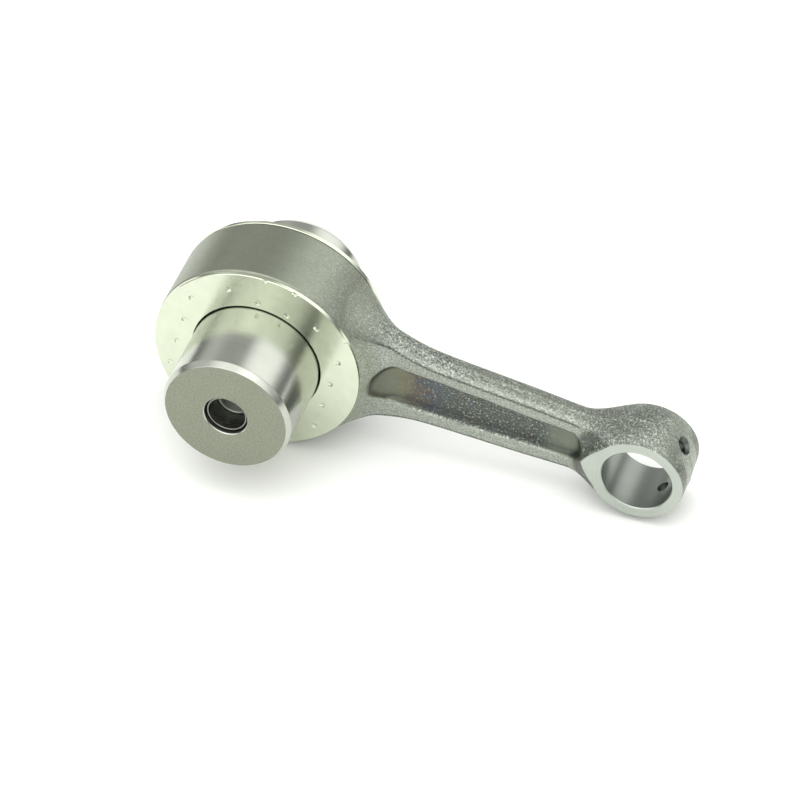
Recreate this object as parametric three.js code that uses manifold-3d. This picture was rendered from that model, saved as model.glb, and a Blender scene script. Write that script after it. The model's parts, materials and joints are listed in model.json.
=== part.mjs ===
// Connecting rod kit of a single-cylinder engine: a forged rod with an I-section shank, the hollow
// crankpin in its big end with a cup plug at each end, a caged needle bearing round the pin and a
// thrust washer on each side.
//
// Millimetres, +Z up. The kit lies on its side edges as on a bench: the crankpin axis is parallel to Y,
// and the rod stands on the rim of its big end and the rim of its small end. The origin is at the
// middle of the bounding box, on the surface that the kit rests on.

import * as THREE from 'three';
import { mergeVertices } from 'three/addons/utils/BufferGeometryUtils.js';
import { ParametricGeometry } from 'three/addons/geometries/ParametricGeometry.js';
import Module from 'manifold-3d';

const wasm = await Module();
wasm.setup();

// ---------------------------------------------------------------- driving dimensions

const CENTRES = 104.4;            // big end centre to small end centre

const RING_RADIUS = 28.5;         // big end
const RING_WIDTH = 20;
const RING_BORE_RADIUS = 21.5;
const RING_EDGE_CHAMFER = 0.4;

const BOSS_FACE_RADIUS = 12.5;    // small end, at its machined side faces
const BOSS_CROWN_RADIUS = 14.5;   // and at the parting line half way between them
const BOSS_WIDTH = 16.5;
const BOSS_BORE_RADIUS = 9.5;
const BOSS_BORE_CHAMFER = 0.25;
const TIP_FLAT = 12.8;            // ground flat on the far end, from the small end centre
const OIL_HOLE_RADIUS = 1.7;
const OIL_HOLE_MOUTH = 2.8;       // radius of the countersink on the outside
const OIL_HOLE_SINK = 2.2;        // and its depth under the parting line
const OIL_HOLE_ANGLE = 47;        // degrees to each side of the rod's long axis, past the small end

const SHANK_THICKNESS = 7.8;      // across the flange faces
const WEB_THICKNESS = 3.8;
const SHANK_CROWN = 1.7;          // how much the parting line stands above the flange corners
const SHANK_STATIONS = 30;        // sections along the shank
const RING_BLEND = 6.5;           // length over which the shank thickens into the big end
const BOSS_BLEND = 7;             // and into the small end
const BOSS_BLEND_REACH = 8;       // where that blend starts, out from the small end's face
const BURIED = 0.05;              // how far the blends stay under the faces that they run into

const PIN_RADIUS = 17.5;          // crankpin
const PIN_LENGTH = 62;
const PIN_OFFSET = -3.8;          // the loose pin stands further out at the front
const PIN_CHAMFER_LENGTH = 1.45;
const PIN_CHAMFER_DEPTH = 1.05;
const PIN_HOLE_RADIUS = 5.85;
const PIN_HOLE_CHAMFER = 0.3;

const PLUG_RADIUS = 5.55;         // cup plugs in the crankpin's hole
const PLUG_WALL = 0.55;
const PLUG_LENGTH = 7;
const PLUG_SET_BACK = 1.1;        // from the pin's end face to the plug's rim
const PLUG_CORNER = 0.8;

const WASHER_RADIUS = 28.35;      // thrust washers
const WASHER_HOLE_RADIUS = 17.8;
const WASHER_THICKNESS = 1.2;
const WASHER_GAP = 0.2;           // side play to the big end's face
const WASHER_EDGE = 0.15;

const ROLLER_COUNT = 16;          // needle bearing
const ROLLER_RADIUS = 1.96;
const ROLLER_LENGTH = 15;
const ROLLER_CHAMFER = 0.3;
const CAGE_INNER_RADIUS = 17.8;
const CAGE_OUTER_RADIUS = 21.2;
const CAGE_WIDTH = 19.2;
const POCKET_CLEARANCE = 0.08;

const OVERSHOOT = 2;              // how far a cutting tool runs past the faces it cuts

const RING_FACETS = 72;
const BORE_FACETS = 96;
const BOSS_FACETS = 56;
const PLUG_FACETS = 32;
const DRILL_FACETS = 20;
const ROLLER_FACETS = 16;

// ---------------------------------------------------------------- worked out from them

const PITCH_RADIUS = (PIN_RADIUS + RING_BORE_RADIUS) / 2;
const RING_HALF = RING_WIDTH / 2;
const BOSS_HALF = BOSS_WIDTH / 2;
const SHANK_HALF = SHANK_THICKNESS / 2;
const WEB_HALF = WEB_THICKNESS / 2;

// The rod tips down towards its small end until both rims touch the surface.
const REST_TILT = Math.asin((RING_RADIUS - BOSS_CROWN_RADIUS) / CENTRES);
const FLAT_HALF_HEIGHT = Math.sqrt(BOSS_CROWN_RADIUS ** 2 - TIP_FLAT ** 2);
const TIP_REACH = (CENTRES + TIP_FLAT) * Math.cos(REST_TILT) + FLAT_HALF_HEIGHT * Math.sin(REST_TILT);
const BIG_END_X = (RING_RADIUS - TIP_REACH) / 2;

// ---------------------------------------------------------------- solids

/** Removes the triangles that have lost an edge where a surface closes to a point. */
function withoutSlivers(index) {
  const kept = [];
  for (let i = 0; i < index.length; i += 3) {
    const [a, b, c] = [index[i], index[i + 1], index[i + 2]];
    if (a !== b && b !== c && c !== a) kept.push(a, b, c);
  }
  return kept;
}

/** Signed volume of a closed triangle mesh, positive where its faces point outwards. */
function signedVolume(position, index) {
  const a = new THREE.Vector3();
  const b = new THREE.Vector3();
  const c = new THREE.Vector3();
  let sum = 0;
  for (let i = 0; i < index.length; i += 3) {
    a.fromArray(position, 3 * index[i]);
    b.fromArray(position, 3 * index[i + 1]);
    c.fromArray(position, 3 * index[i + 2]);
    sum += a.dot(b.cross(c)) / 6;
  }
  return sum;
}

/** Turns a closed three.js geometry into a solid that can be joined and cut. */
function solid(geometry) {
  const bare = geometry.clone();
  bare.deleteAttribute('normal');
  bare.deleteAttribute('uv');
  const merged = mergeVertices(bare, 1e-4);
  const position = merged.attributes.position.array;
  let index = withoutSlivers(Array.from(merged.index.array));
  if (signedVolume(position, index) < 0) index = index.reverse();
  return new wasm.Manifold(new wasm.Mesh({
    numProp: 3,
    vertProperties: new Float32Array(position),
    triVerts: new Uint32Array(index),
  }));
}

/** Turns a solid back into a three.js geometry. */
function geometryOf(manifold) {
  const mesh = manifold.getMesh();
  const geometry = new THREE.BufferGeometry();
  geometry.setAttribute('position', new THREE.BufferAttribute(new Float32Array(mesh.vertProperties), 3));
  geometry.setIndex(new THREE.BufferAttribute(new Uint32Array(mesh.triVerts), 1));
  geometry.computeVertexNormals();
  return geometry;
}

/** A body of revolution about Y from a profile of [radius, y] points. */
function turned(profile, facets) {
  const points = profile.map(([radius, y]) => new THREE.Vector2(radius, y));
  return new THREE.LatheGeometry(points, facets);
}

/** The tool that cuts a through bore about Y and a chamfer on both its edges. */
function boreCutter(radius, width, chamfer, facets) {
  const half = width / 2;
  const over = 1;
  return turned([
    [0, -half - over],
    [radius + chamfer + over, -half - over],
    [radius, -half + chamfer],
    [radius, half - chamfer],
    [radius + chamfer + over, half + over],
    [0, half + over],
  ], facets);
}

/** 0 to 1 with soft ends, for x from 0 to 1. */
function smooth(x) {
  return THREE.MathUtils.smoothstep(x, 0, 1);
}

// ---------------------------------------------------------------- connecting rod

// Half height of the shank at its parting line, at stations along the rod.
const SHANK_OUTLINE = new THREE.SplineCurve([
  new THREE.Vector2(18, 21.8),
  new THREE.Vector2(22, 19.2),
  new THREE.Vector2(27, 16.4),
  new THREE.Vector2(32, 14.2),
  new THREE.Vector2(38, 12.3),
  new THREE.Vector2(49, 10.9),
  new THREE.Vector2(72, 10.2),
  new THREE.Vector2(85, 9.5),
  new THREE.Vector2(92, 10.3),
  new THREE.Vector2(98, 12.8),
]);

// One quarter of the shank's section, from the middle of a flange face to the parting line:
// share of the flat face, share of the crown, share of the half thickness.
const SHANK_QUARTER = [
  [0, 0, 1],
  [1, 0, 1],
  [1, Math.sin(Math.PI / 6), Math.cos(Math.PI / 6)],
  [1, Math.sin(Math.PI / 3), Math.cos(Math.PI / 3)],
];

/** Half thickness of the forging: thin along the shank, rising to the full width of both ends. */
function forgingHalf(x, z) {
  const fromRing = Math.hypot(x, z);
  const fromBoss = Math.hypot(CENTRES - x, z);
  const ringRise = smooth((RING_RADIUS + RING_BLEND - fromRing) / RING_BLEND);
  const bossRise = smooth((BOSS_FACE_RADIUS + BOSS_BLEND_REACH - fromBoss) / BOSS_BLEND);
  const towardsRing = (RING_HALF - BURIED - SHANK_HALF) * ringRise;
  const towardsBoss = (BOSS_HALF - BURIED - SHANK_HALF) * bossRise;
  return SHANK_HALF + Math.max(towardsRing, towardsBoss);
}

/** The full loop of section shares, as signed [flat, crown, thickness] triples. */
function sectionLoop(quarter) {
  const apex = [[1, 1, 0]];
  const upperFront = quarter.map(([f, c, t]) => [f, c, -t]);
  const upperBack = quarter.slice(1).reverse().map(([f, c, t]) => [f, c, t]);
  const lowerBack = quarter.map(([f, c, t]) => [-f, -c, t]);
  const lowerFront = quarter.slice(1).reverse().map(([f, c, t]) => [-f, -c, -t]);
  return [...upperFront, ...apex, ...upperBack, ...lowerBack, [-1, -1, 0], ...lowerFront];
}

/** The solid shank, before its recesses are cut: sections lofted along the rod, closed at both ends. */
function shankBlank() {
  const loop = sectionLoop(SHANK_QUARTER);
  const stations = SHANK_STATIONS;
  const surface = (s, t, target) => {
    const row = Math.round(s * (stations + 2));
    const along = THREE.MathUtils.clamp((row - 1) / stations, 0, 1);
    const station = SHANK_OUTLINE.getPoint(along);
    const open = row === 0 || row === stations + 2 ? 0 : 1;
    const [flat, crown, thickness] = loop[Math.round(t * loop.length) % loop.length];
    const z = open * (flat * (station.y - SHANK_CROWN) + crown * SHANK_CROWN);
    const y = open * thickness * forgingHalf(station.x, z);
    target.set(station.x, y, z);
  };
  return new ParametricGeometry(surface, stations + 2, loop.length);
}

// The recess in each side of the shank: its round ends and the half height between them.
const RECESS = { start: 29.3, startRadius: 6.3, end: 89, endRadius: 4.9 };

// The ramp at each end of the recess: its length, its rise, and how fast it steepens.
const START_RAMP = { length: 8, rise: 7.5 };
const END_RAMP = { length: 5, rise: 5.5 };
const RAMP_POWER = 2.4;

/** Half height of the recess at its rim, at distance x along the rod. */
function recessHalf(x) {
  const first = RECESS.start + RECESS.startRadius;
  const last = RECESS.end - RECESS.endRadius;
  if (x < first) return Math.sqrt(Math.max(0, RECESS.startRadius ** 2 - (first - x) ** 2));
  if (x > last) return Math.sqrt(Math.max(0, RECESS.endRadius ** 2 - (x - last) ** 2));
  return THREE.MathUtils.mapLinear(x, first, last, RECESS.startRadius, RECESS.endRadius);
}

/** Distance of the recess floor from the middle plane, rising in a long ramp at both ends. */
function recessFloor(x) {
  const startRamp = 1 - THREE.MathUtils.clamp((x - RECESS.start) / START_RAMP.length, 0, 1);
  const endRamp = 1 - THREE.MathUtils.clamp((RECESS.end - x) / END_RAMP.length, 0, 1);
  return WEB_HALF + START_RAMP.rise * startRamp ** RAMP_POWER + END_RAMP.rise * endRamp ** RAMP_POWER;
}

/** The tool that cuts the recess in the front (side -1) or the back (side 1) of the shank. */
function recessCutter(side) {
  const top = RING_HALF + OVERSHOOT;
  const stations = 26;
  // share of the half height, share of the way from the floor to the top
  const half = [[0, 0], [0.55, 0], [0.82, 0.05], [0.96, 0.16], [1, 0.3], [1.02, 1]];
  const loop = [...half, ...half.slice(1).reverse().map(([w, h]) => [-w, h])];
  const surface = (s, t, target) => {
    const row = Math.round(s * stations);
    const swing = (1 - Math.cos(Math.PI * row / stations)) / 2;
    const x = THREE.MathUtils.lerp(RECESS.start, RECESS.end, swing);
    const closed = row === 0 || row === stations;
    const [across, up] = loop[Math.round(t * loop.length) % loop.length];
    const floor = recessFloor(x);
    const y = closed ? (floor + top) / 2 : THREE.MathUtils.lerp(floor, top, up);
    target.set(x, side * y, closed ? 0 : across * recessHalf(x));
  };
  return new ParametricGeometry(surface, stations, loop.length);
}

/** The big end before boring: a plain turned ring blank. */
function ringBlank() {
  const edge = RING_EDGE_CHAMFER;
  return turned([
    [0, -RING_HALF],
    [RING_RADIUS - edge, -RING_HALF],
    [RING_RADIUS, -RING_HALF + edge],
    [RING_RADIUS, RING_HALF - edge],
    [RING_RADIUS - edge, RING_HALF],
    [0, RING_HALF],
  ], RING_FACETS);
}

/** The small end before boring: crowned to the parting line, flat on both sides. */
function bossBlank() {
  const crown = [0.9, 0.65, 0.35, 0];
  const lower = crown.map((share) => [crownRadius(share), -share * BOSS_HALF]);
  const upper = crown.slice(0, -1).reverse().map((share) => [crownRadius(share), share * BOSS_HALF]);
  return turned([
    [0, -BOSS_HALF],
    [BOSS_FACE_RADIUS, -BOSS_HALF],
    ...lower,
    ...upper,
    [BOSS_FACE_RADIUS, BOSS_HALF],
    [0, BOSS_HALF],
  ], BOSS_FACETS);
}

/** Radius of the small end at a share of its half width from the parting line. */
function crownRadius(share) {
  return BOSS_CROWN_RADIUS - (BOSS_CROWN_RADIUS - BOSS_FACE_RADIUS) * share ** 2.2;
}

/** The countersunk drill for an oil hole, pointing into the small end at an angle in degrees. */
function oilDrill(angle) {
  return turned([
    [0, BOSS_BORE_RADIUS - OVERSHOOT],
    [OIL_HOLE_RADIUS, BOSS_BORE_RADIUS - OVERSHOOT],
    [OIL_HOLE_RADIUS, BOSS_CROWN_RADIUS - OIL_HOLE_SINK],
    [OIL_HOLE_MOUTH, BOSS_CROWN_RADIUS],
    [OIL_HOLE_MOUTH, BOSS_CROWN_RADIUS + OVERSHOOT],
    [0, BOSS_CROWN_RADIUS + OVERSHOOT],
  ], DRILL_FACETS)
    .rotateZ(-Math.PI / 2)
    .rotateY(-THREE.MathUtils.degToRad(angle))
    .translate(CENTRES, 0, 0);
}

function connectingRod() {
  const boss = solid(bossBlank().translate(CENTRES, 0, 0));
  const flatCutter = new THREE.BoxGeometry(10, 40, 40).translate(CENTRES + TIP_FLAT + 5, 0, 0);
  const bigBore = boreCutter(RING_BORE_RADIUS, RING_WIDTH, RING_EDGE_CHAMFER, BORE_FACETS);
  const smallBore = boreCutter(BOSS_BORE_RADIUS, BOSS_WIDTH, BOSS_BORE_CHAMFER, BOSS_FACETS);
  const body = solid(ringBlank())
    .add(solid(shankBlank()))
    .add(boss)
    .subtract(solid(recessCutter(-1)))
    .subtract(solid(recessCutter(1)))
    .subtract(solid(flatCutter))
    .subtract(solid(oilDrill(OIL_HOLE_ANGLE)))
    .subtract(solid(oilDrill(-OIL_HOLE_ANGLE)))
    .subtract(solid(bigBore))
    .subtract(solid(smallBore.translate(CENTRES, 0, 0)));
  return geometryOf(body);
}

// ---------------------------------------------------------------- crankpin and its plugs

/** The hollow pin, about Y, with wide shallow chamfers on its ends. */
function crankpin() {
  const half = PIN_LENGTH / 2;
  const face = PIN_RADIUS - PIN_CHAMFER_DEPTH;
  const shoulder = half - PIN_CHAMFER_LENGTH;
  const hole = PIN_HOLE_RADIUS;
  const mouth = PIN_HOLE_RADIUS + PIN_HOLE_CHAMFER;
  return turned([
    [hole, -half + PIN_HOLE_CHAMFER],
    [mouth, -half],
    [face, -half],
    [PIN_RADIUS, -shoulder],
    [PIN_RADIUS, shoulder],
    [face, half],
    [mouth, half],
    [hole, half - PIN_HOLE_CHAMFER],
    [hole, -half + PIN_HOLE_CHAMFER],
  ], BORE_FACETS);
}

/** A thin cup, open towards -Y, with its rim at y = 0. */
function cupPlug() {
  const inner = PLUG_RADIUS - PLUG_WALL;
  const floor = PLUG_LENGTH - PLUG_WALL;
  return turned([
    [0, floor],
    [inner - PLUG_CORNER, floor],
    [inner, floor - PLUG_CORNER],
    [inner, 0],
    [PLUG_RADIUS, 0],
    [PLUG_RADIUS, PLUG_LENGTH - PLUG_CORNER],
    [PLUG_RADIUS - PLUG_CORNER, PLUG_LENGTH],
    [0, PLUG_LENGTH],
  ], PLUG_FACETS);
}

// ---------------------------------------------------------------- washers and needle bearing

function thrustWasher() {
  const half = WASHER_THICKNESS / 2;
  const edge = WASHER_EDGE;
  return turned([
    [WASHER_HOLE_RADIUS, -half],
    [WASHER_RADIUS - edge, -half],
    [WASHER_RADIUS, -half + edge],
    [WASHER_RADIUS, half - edge],
    [WASHER_RADIUS - edge, half],
    [WASHER_HOLE_RADIUS, half],
    [WASHER_HOLE_RADIUS, -half],
  ], RING_FACETS);
}

function needleRoller() {
  const half = ROLLER_LENGTH / 2;
  const end = ROLLER_RADIUS - ROLLER_CHAMFER;
  return turned([
    [0, -half],
    [end, -half],
    [ROLLER_RADIUS, -half + ROLLER_CHAMFER],
    [ROLLER_RADIUS, half - ROLLER_CHAMFER],
    [end, half],
    [0, half],
  ], ROLLER_FACETS);
}

/** The cage: a plain sleeve with one pocket for each roller. */
function needleCage() {
  const half = CAGE_WIDTH / 2;
  let cage = solid(turned([
    [CAGE_INNER_RADIUS, -half],
    [CAGE_OUTER_RADIUS, -half],
    [CAGE_OUTER_RADIUS, half],
    [CAGE_INNER_RADIUS, half],
    [CAGE_INNER_RADIUS, -half],
  ], ROLLER_COUNT * 4));
  const across = 2 * (ROLLER_RADIUS + POCKET_CLEARANCE);
  const along = ROLLER_LENGTH + 2 * POCKET_CLEARANCE;
  for (let i = 0; i < ROLLER_COUNT; i += 1) {
    const pocket = new THREE.BoxGeometry(8, along, across)
      .translate(PITCH_RADIUS, 0, 0)
      .rotateY(-rollerAngle(i));
    cage = cage.subtract(solid(pocket));
  }
  return geometryOf(cage);
}

/** Angle of a roller round the crankpin, from the rod's long axis towards +Z. */
function rollerAngle(i) {
  return 2 * Math.PI * (i + 0.5) / ROLLER_COUNT;
}

// ---------------------------------------------------------------- finishes

const forgedSteel = new THREE.MeshStandardMaterial({ color: 0x8c8f89, roughness: 0.55, metalness: 0.9 });
const groundSteel = new THREE.MeshStandardMaterial({ color: 0xa9ac9f, roughness: 0.25, metalness: 1 });
const brightSteel = new THREE.MeshStandardMaterial({ color: 0xc9ccc8, roughness: 0.2, metalness: 1 });
const silverPlate = new THREE.MeshStandardMaterial({ color: 0xdde3cb, roughness: 0.2, metalness: 1 });
const cageSteel = new THREE.MeshStandardMaterial({ color: 0x9a8f78, roughness: 0.4, metalness: 0.9 });

// ---------------------------------------------------------------- assembly

/** A named piece of the kit, in the rod's own frame: big end centre at the origin, small end on +X. */
function piece(name, geometry, finish, x = 0, y = 0, z = 0) {
  const mesh = new THREE.Mesh(geometry, finish.clone());
  mesh.name = name;
  mesh.position.set(x, y, z);
  return mesh;
}

const kit = new THREE.Group();
kit.position.set(BIG_END_X, -PIN_OFFSET, RING_RADIUS);
kit.rotation.y = REST_TILT;

kit.add(piece('connecting_rod', connectingRod(), forgedSteel));
kit.add(piece('crankpin', crankpin(), groundSteel, 0, PIN_OFFSET, 0));

const plugY = PIN_LENGTH / 2 - PLUG_SET_BACK;
kit.add(piece('pin_plug_front', cupPlug(), brightSteel, 0, PIN_OFFSET - plugY, 0));
const rearPlug = piece('pin_plug_rear', cupPlug(), brightSteel, 0, PIN_OFFSET + plugY, 0);
rearPlug.rotation.x = Math.PI;
kit.add(rearPlug);

const washerY = RING_HALF + WASHER_GAP + WASHER_THICKNESS / 2;
kit.add(piece('thrust_washer_front', thrustWasher(), silverPlate, 0, -washerY, 0));
kit.add(piece('thrust_washer_rear', thrustWasher(), silverPlate, 0, washerY, 0));

kit.add(piece('needle_cage', needleCage(), cageSteel));
for (let i = 0; i < ROLLER_COUNT; i += 1) {
  const name = `needle_roller_${String(i + 1).padStart(2, '0')}`;
  const x = PITCH_RADIUS * Math.cos(rollerAngle(i));
  const z = PITCH_RADIUS * Math.sin(rollerAngle(i));
  kit.add(piece(name, needleRoller(), brightSteel, x, 0, z));
}

export default kit;
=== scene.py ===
import json
import math

import bmesh
import bpy
from mathutils import Matrix, Vector


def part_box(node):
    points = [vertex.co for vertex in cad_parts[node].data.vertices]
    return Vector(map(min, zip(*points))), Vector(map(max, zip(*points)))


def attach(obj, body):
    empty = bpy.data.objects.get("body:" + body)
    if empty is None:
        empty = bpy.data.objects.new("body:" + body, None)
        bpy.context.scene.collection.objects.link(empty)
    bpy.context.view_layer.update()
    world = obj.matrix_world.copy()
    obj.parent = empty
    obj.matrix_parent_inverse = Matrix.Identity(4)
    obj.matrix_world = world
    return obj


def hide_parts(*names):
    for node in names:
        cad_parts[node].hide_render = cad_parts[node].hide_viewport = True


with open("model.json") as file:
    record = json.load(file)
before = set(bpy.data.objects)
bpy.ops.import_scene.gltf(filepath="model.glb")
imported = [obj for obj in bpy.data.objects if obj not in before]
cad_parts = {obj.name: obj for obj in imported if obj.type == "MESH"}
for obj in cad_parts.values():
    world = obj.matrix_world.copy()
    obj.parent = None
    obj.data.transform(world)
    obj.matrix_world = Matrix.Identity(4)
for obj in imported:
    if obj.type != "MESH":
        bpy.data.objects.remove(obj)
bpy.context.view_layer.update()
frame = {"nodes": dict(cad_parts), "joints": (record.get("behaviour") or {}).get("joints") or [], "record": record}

bl_info = {
    "name": "Connecting Rod Kit",
    "version": (1, 0, 0),
    "blender": (4, 5, 0),
    "location": "View3D > Sidebar > Rod Kit",
    "description": "Forged connecting rod with crankpin, needle bearing and dimpled thrust washers",
    "category": "Object",
}

MM = 0.001

# ------------------------------------------------------------ places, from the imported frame

JOINT = {joint["name"]: joint for joint in frame["joints"]}
BIG_END = Vector(JOINT["crankpin_spin"]["pos_m"])
ROLLER_NAMES = sorted(name for name in frame["nodes"] if name.startswith("needle_roller_"))


def small_end_axis():
    """The middle of the small end's bore, from the opening that the record states for it."""
    low, high = frame["record"]["physics"]["openings"][0]["box_m"]
    middle = (Vector(low) + Vector(high)) / 2
    middle.y = BIG_END.y
    return middle


SMALL_END = small_end_axis()
CENTRES = (SMALL_END - BIG_END).length / MM
TILT = math.atan2(BIG_END.z - SMALL_END.z, SMALL_END.x - BIG_END.x)

# From the rod's own frame, in millimetres (X along the rod, Y along the crankpin), to the row frame.
ROD_TO_ROW = Matrix.Translation(BIG_END) @ Matrix.Rotation(TILT, 4, "Y") @ Matrix.Scale(MM, 4)


# ------------------------------------------------------------ sizes and colours a user would change


class RodKitSizes(bpy.types.PropertyGroup):
    voxel: bpy.props.FloatProperty(
        name="Forging detail", description="Size of the smallest detail kept on the forging",
        default=0.42 * MM, unit="LENGTH")
    dimple_pitch: bpy.props.FloatProperty(
        name="Dimple pitch", description="Distance between the oil dimples on a washer",
        default=8.35 * MM, unit="LENGTH")
    dimple_radius: bpy.props.FloatProperty(
        name="Dimple radius", description="Radius of an oil dimple",
        default=0.85 * MM, unit="LENGTH")
    dimple_depth: bpy.props.FloatProperty(
        name="Dimple depth", description="Depth of an oil dimple",
        default=0.28 * MM, unit="LENGTH")
    floor_size: bpy.props.FloatProperty(
        name="Floor size", description="Side of the floor that the kit lies on",
        default=6.0, unit="LENGTH")


def linear(hex_colour):
    """Turns an sRGB hex colour into the linear values that a shader takes."""
    channels = [int(hex_colour[i:i + 2], 16) / 255 for i in (1, 3, 5)]
    return tuple(c / 12.92 if c <= 0.04045 else ((c + 0.055) / 1.055) ** 2.4 for c in channels)


def colour_property(name, description, hex_colour):
    """A colour that a user can change, from an sRGB hex colour."""
    return bpy.props.FloatVectorProperty(
        name=name, description=description, default=linear(hex_colour),
        subtype="COLOR", size=3, min=0.0, max=1.0)


class RodKitColours(bpy.types.PropertyGroup):
    forging: colour_property("Forging", "Shot-blasted forged steel", "#8F948B")
    ground: colour_property("Ground steel", "Ground side faces and bores", "#B4BAB2")
    pin: colour_property("Crankpin", "Polished hardened steel", "#BDC0B6")
    pin_end: colour_property("Pin end", "Faced ends of the crankpin", "#979B8B")
    plate: colour_property("Washer plating", "Silver-coloured plating", "#D6DCC8")
    plug: colour_property("Cup plug", "Deep-drawn sheet steel", "#858781")
    cage: colour_property("Cage", "Machined cage, dull brown", "#8F8268")
    floor: colour_property("Floor", "Paper under the kit", "#F4F5F2")


# ------------------------------------------------------------ making pieces


def loose_object(name, bm):
    """Turns a bmesh into an object, in the bmesh's own units."""
    mesh = bpy.data.meshes.new(name)
    bm.to_mesh(mesh)
    bm.free()
    obj = bpy.data.objects.new(name, mesh)
    bpy.context.scene.collection.objects.link(obj)
    return obj


def taken_back(obj):
    """Turns a loose object back into a bmesh."""
    bm = bmesh.new()
    bm.from_mesh(obj.data)
    bpy.data.objects.remove(obj)
    return bm


def finished_object(name, bm, materials, to_row=ROD_TO_ROW, sharp_degrees=32):
    """Turns a bmesh in rod millimetres into an object at the origin of the row frame."""
    bmesh.ops.transform(bm, matrix=to_row, verts=bm.verts)
    obj = loose_object(name, bm)
    for material in materials:
        obj.data.materials.append(material)
    obj.data.shade_smooth()
    obj.data.set_sharp_from_angle(angle=math.radians(sharp_degrees))
    return obj


def turned(profile, steps, centre=(0, 0, 0)):
    """Spins a closed profile of (radius, y) points, in millimetres, round the Y axis."""
    bm = bmesh.new()
    verts = [bm.verts.new((radius, y, 0)) for radius, y in profile]
    edges = [bm.edges.new((a, b)) for a, b in zip(verts, verts[1:])]
    if profile[0][0] > 0:
        edges.append(bm.edges.new((verts[-1], verts[0])))
    bmesh.ops.spin(
        bm, geom=verts + edges, cent=(0, 0, 0), axis=(0, 1, 0), angle=2 * math.pi,
        steps=steps, use_merge=True)
    bmesh.ops.remove_doubles(bm, verts=bm.verts, dist=1e-4)
    bmesh.ops.recalc_face_normals(bm, faces=bm.faces)
    bmesh.ops.translate(bm, verts=bm.verts, vec=centre)
    return bm


def rounded(profile, radius, segments):
    """Rounds every corner of a (radius, y) profile that does not lie on the axis."""
    out = []
    count = len(profile)
    for i, corner in enumerate(profile):
        here = Vector(corner)
        if corner[0] < 1e-6:
            out.append(corner)
            continue
        back = Vector(profile[i - 1]) - here
        ahead = Vector(profile[(i + 1) % count]) - here
        reach = min(radius, back.length * 0.45, ahead.length * 0.45)
        start = here + back.normalized() * reach
        end = here + ahead.normalized() * reach
        for k in range(segments + 1):
            t = k / segments
            point = start * (1 - t) ** 2 + here * 2 * t * (1 - t) + end * t ** 2
            out.append((point.x, point.y))
    return out


def node_centre(name):
    """The middle of a CAD node's box, in the row frame."""
    low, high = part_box(name)
    return (low + high) / 2


# ------------------------------------------------------------ materials


def add(tree, kind, inputs=None, settings=None, out=0):
    """Adds a node, sets its properties, sets or links its inputs, and returns one of its outputs."""
    node = tree.nodes.new(kind)
    for key, value in (settings or {}).items():
        setattr(node, key, value)
    for key, value in (inputs or {}).items():
        if isinstance(value, bpy.types.NodeSocket):
            tree.links.new(value, node.inputs[key])
        else:
            node.inputs[key].default_value = value
    return node.outputs[out]


def new_material(name):
    """An empty node material, as its tree, its shader and the object's own coordinates."""
    material = bpy.data.materials.new(name)
    material.use_nodes = True
    tree = material.node_tree
    tree.nodes.clear()
    surface = add(tree, "ShaderNodeBsdfPrincipled")
    output = tree.nodes.new("ShaderNodeOutputMaterial")
    tree.links.new(surface, output.inputs["Surface"])
    return material, tree, surface.node.inputs, add(tree, "ShaderNodeTexCoord", out="Object")


def scene_colour(name):
    return tuple(getattr(bpy.context.scene.rod_kit_colours, name))


def per_metre(size_mm):
    """The texture scale at which one feature of a noise is about this many millimetres."""
    return 1.0 / (size_mm * MM)


def shade(colour, share=1.0):
    """A linear colour made darker or lighter, with the alpha that a node wants."""
    return (*(channel * share for channel in colour[:3]), 1.0)


NOISE, RANGE, MATHS = "ShaderNodeTexNoise", "ShaderNodeMapRange", "ShaderNodeMath"
MIX, BUMP, GIVEN = "ShaderNodeMix", "ShaderNodeBump", "ShaderNodeAttribute"
COLOURS = {"data_type": "RGBA"}
MULTIPLY, SUM = {"operation": "MULTIPLY"}, {"operation": "ADD"}
FACTOR, FIRST, SECOND, MIXED = 0, 6, 7, 2          # sockets of a Mix node set to colours

# How far each finish, painted highlight and painted shade holds at a point of the forging, from 0 to 1.
MASKS = ("blast", "dressed", "hollow", "crease", "temper")

# The colours that heat leaves on steel, from the cooler end to the hotter: place, colour, strength.
HEAT_TINTS = ((0.0, "#7F7A62", 0.0), (0.16, "#7F7758", 0.50), (0.36, "#7A6C58", 0.55),
              (0.50, "#64555F", 0.60), (0.66, "#4E5A6C", 0.60), (0.82, "#5F6C70", 0.40),
              (1.0, "#6A7272", 0.0))


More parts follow.
